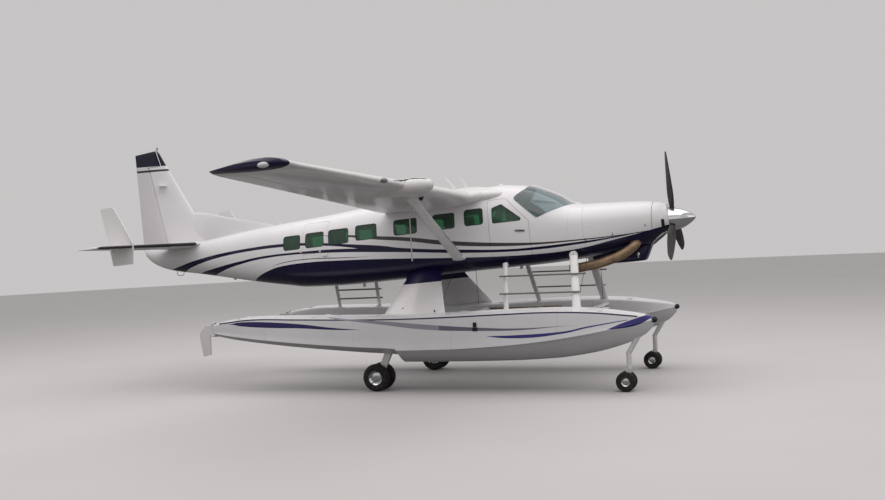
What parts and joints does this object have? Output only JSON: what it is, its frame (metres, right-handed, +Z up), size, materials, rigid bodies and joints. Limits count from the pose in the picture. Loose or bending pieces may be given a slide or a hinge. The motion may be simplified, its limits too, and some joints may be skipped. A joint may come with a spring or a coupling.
{
  "type": "floatplane",
  "caption": "High-wing single-turboprop utility floatplane on twin amphibious floats with wheels down, with turning propeller, control surfaces, doors and wheels.",
  "frame": {"origin": "on the floor under the middle of the bounding box", "axes": "+X towards the nose, +Y towards the left wing tip, +Z up"},
  "size_m": [12.8224, 15.87, 5.3434],
  "materials": {
    "painted_skin": "gloss white and navy coach paint on riveted aluminium",
    "grey_paint": "satin grey paint on control surfaces and gear",
    "polished_metal": "mirror polished aluminium",
    "heat_stained_steel": "stainless steel browned by heat",
    "engine": "plain block for the closed-in engine",
    "propeller_black": "matt black paint on metal blades",
    "tinted_glass": "green-tinted acrylic",
    "cabin_trim": "grained cabin trim",
    "seat_leather": "seat covers",
    "tyre_rubber": "tyres",
    "rope_fibre": "braided white line"
  },
  "bodies": {
    "airframe": {"fuselage_shell": "painted_skin", "tail_cone": "painted_skin", "engine_cowl": "painted_skin", "chin_scoop": "painted_skin", "engine_block": "engine", "exhaust_stack": "heat_stained_steel", "cabin_floor": "cabin_trim", "instrument_panel": "cabin_trim", "crew_seats": "seat_leather", "passenger_seats": "seat_leather", "windshield": "tinted_glass", "radar_pod": "painted_skin", "mooring_rope": "rope_fibre", "fin": "painted_skin", "stabilizer": "grey_paint", "wing_right": "painted_skin", "wing_left": "painted_skin", "wing_strut_right": "painted_skin", "wing_strut_left": "painted_skin", "float_right": "painted_skin", "float_left": "painted_skin", "pylon_right": "painted_skin", "pylon_left": "painted_skin", "front_strut_right": "painted_skin", "front_strut_left": "painted_skin", "front_ladder_right": "painted_skin", "front_ladder_left": "painted_skin", "rear_ladder_left": "grey_paint", "spreader_fore": "grey_paint", "spreader_aft": "grey_paint", "main_leg_right": "grey_paint", "main_leg_left": "grey_paint", "nose_leg_right": "grey_paint", "nose_leg_left": "grey_paint"},
    "propeller": {"propeller": "propeller_black", "spinner": "polished_metal"},
    "aileron_right": {"aileron_right": "grey_paint"},
    "aileron_left": {"aileron_left": "grey_paint"},
    "flap_right": {"flap_right": "grey_paint"},
    "flap_left": {"flap_left": "grey_paint"},
    "elevator": {"elevator_right": "grey_paint", "elevator_left": "grey_paint"},
    "rudder": {"rudder": "painted_skin"},
    "crew_door_right": {"crew_door_right": "painted_skin"},
    "crew_door_left": {"crew_door_left": "painted_skin"},
    "airstair_upper": {"airstair_upper": "painted_skin"},
    "airstair_lower": {"airstair_lower": "painted_skin"},
    "cargo_door_upper": {"cargo_door_upper": "painted_skin"},
    "cargo_door_lower": {"cargo_door_lower": "painted_skin"},
    "water_rudder_right": {"water_rudder_right": "grey_paint"},
    "water_rudder_left": {"water_rudder_left": "grey_paint"},
    "nose_fork_right": {"nose_fork_right": "grey_paint"},
    "nose_fork_left": {"nose_fork_left": "grey_paint"},
    "nose_wheels_right": {"nose_wheels_right": "tyre_rubber"},
    "nose_wheels_left": {"nose_wheels_left": "tyre_rubber"},
    "main_wheels_right": {"main_wheels_right": "tyre_rubber"},
    "main_wheels_left": {"main_wheels_left": "tyre_rubber"}
  },
  "joints": [
    {"name": "propeller_spin", "type": "hinge", "parent": "airframe", "child": "propeller", "pos_m": [5.98176, 0, 3.0945], "axis": [0.9982, 0, 0.0593], "continuous": true},
    {"name": "aileron_right_hinge", "type": "hinge", "parent": "airframe", "child": "aileron_right", "pos_m": [0.97066, -5.624, 3.85794], "axis": [-0.0456, 0.9977, -0.0493], "range_deg": [-20, 20]},
    {"name": "aileron_left_hinge", "type": "hinge", "parent": "airframe", "child": "aileron_left", "pos_m": [0.97066, 5.624, 3.85794], "axis": [0.0456, 0.9977, 0.0493], "range_deg": [-20, 20]},
    {"name": "flap_right_hinge", "type": "hinge", "parent": "airframe", "child": "flap_right", "pos_m": [0.845, -0.997, 3.52085], "axis": [0.0404, -0.9974, 0.0605], "range_deg": [0, 30]},
    {"name": "flap_left_hinge", "type": "hinge", "parent": "airframe", "child": "flap_left", "pos_m": [0.845, 0.997, 3.52085], "axis": [-0.0404, -0.9974, -0.0605], "range_deg": [0, 30]},
    {"name": "elevator_hinge", "type": "hinge", "parent": "airframe", "child": "elevator", "pos_m": [-5.45699, 0, 3.07107], "axis": [0, -1, 0], "range_deg": [-25, 20]},
    {"name": "rudder_hinge", "type": "hinge", "parent": "airframe", "child": "rudder", "pos_m": [-5.62187, 0, 3.14842], "axis": [-0.2431, 0, 0.97], "range_deg": [-25, 25]},
    {"name": "crew_door_right_hinge", "type": "hinge", "parent": "airframe", "child": "crew_door_right", "pos_m": [3.34435, -0.862, 2.83763], "axis": [-0.0593, 0, 0.9982], "range_deg": [0, 80]},
    {"name": "crew_door_left_hinge", "type": "hinge", "parent": "airframe", "child": "crew_door_left", "pos_m": [3.34435, 0.862, 2.83763], "axis": [0.0593, 0, -0.9982], "range_deg": [0, 80]},
    {"name": "airstair_upper_hinge", "type": "hinge", "parent": "airframe", "child": "airstair_upper", "pos_m": [-1.43056, -0.5615, 3.41947], "axis": [-0.9905, 0.124, -0.0588], "range_deg": [0, 90]},
    {"name": "airstair_lower_hinge", "type": "hinge", "parent": "airframe", "child": "airstair_lower", "pos_m": [-1.36189, -0.697, 2.26351], "axis": [0.9917, -0.1142, 0.0589], "range_deg": [0, 110]},
    {"name": "cargo_upper_hinge", "type": "hinge", "parent": "airframe", "child": "cargo_door_upper", "pos_m": [-0.53744, 0.653, 3.47754], "axis": [0.9942, 0.0896, 0.0591], "range_deg": [0, 90]},
    {"name": "cargo_lower_hinge", "type": "hinge", "parent": "airframe", "child": "cargo_door_lower", "pos_m": [-0.46846, 0.767, 2.31659], "axis": [-0.9967, -0.0559, -0.0592], "range_deg": [0, 90]},
    {"name": "water_rudder_right_pin", "type": "hinge", "parent": "airframe", "child": "water_rudder_right", "pos_m": [-3.44, -1.6, 1.26], "axis": [0, 0, 1], "range_deg": [-30, 30]},
    {"name": "water_rudder_left_pin", "type": "hinge", "parent": "airframe", "child": "water_rudder_left", "pos_m": [-3.44, 1.6, 1.26], "axis": [0, 0, 1], "range_deg": [-30, 30]},
    {"name": "nose_swivel_right", "type": "hinge", "parent": "airframe", "child": "nose_fork_right", "pos_m": [5.282, -1.6, 0.52], "axis": [0, 0, 1], "range_deg": [-40, 40]},
    {"name": "nose_wheels_right_spin", "type": "hinge", "parent": "nose_fork_right", "child": "nose_wheels_right", "pos_m": [5.22, -1.6, 0.18], "axis": [0, 1, 0], "continuous": true},
    {"name": "nose_swivel_left", "type": "hinge", "parent": "airframe", "child": "nose_fork_left", "pos_m": [5.282, 1.6, 0.52], "axis": [0, 0, 1], "range_deg": [-40, 40]},
    {"name": "nose_wheels_left_spin", "type": "hinge", "parent": "nose_fork_left", "child": "nose_wheels_left", "pos_m": [5.22, 1.6, 0.18], "axis": [0, 1, 0], "continuous": true},
    {"name": "main_wheels_right_spin", "type": "hinge", "parent": "airframe", "child": "main_wheels_right", "pos_m": [0.33, -1.6, 0.27], "axis": [0, 1, 0], "continuous": true},
    {"name": "main_wheels_left_spin", "type": "hinge", "parent": "airframe", "child": "main_wheels_left", "pos_m": [0.33, 1.6, 0.27], "axis": [0, 1, 0], "continuous": true}
  ],
  "couplings": [
    {"joint": "aileron_left_hinge", "follows": "aileron_right_hinge", "ratio": -1},
    {"joint": "flap_left_hinge", "follows": "flap_right_hinge", "ratio": 1},
    {"joint": "water_rudder_right_pin", "follows": "rudder_hinge", "ratio": 1.2},
    {"joint": "water_rudder_left_pin", "follows": "rudder_hinge", "ratio": 1.2}
  ]
}
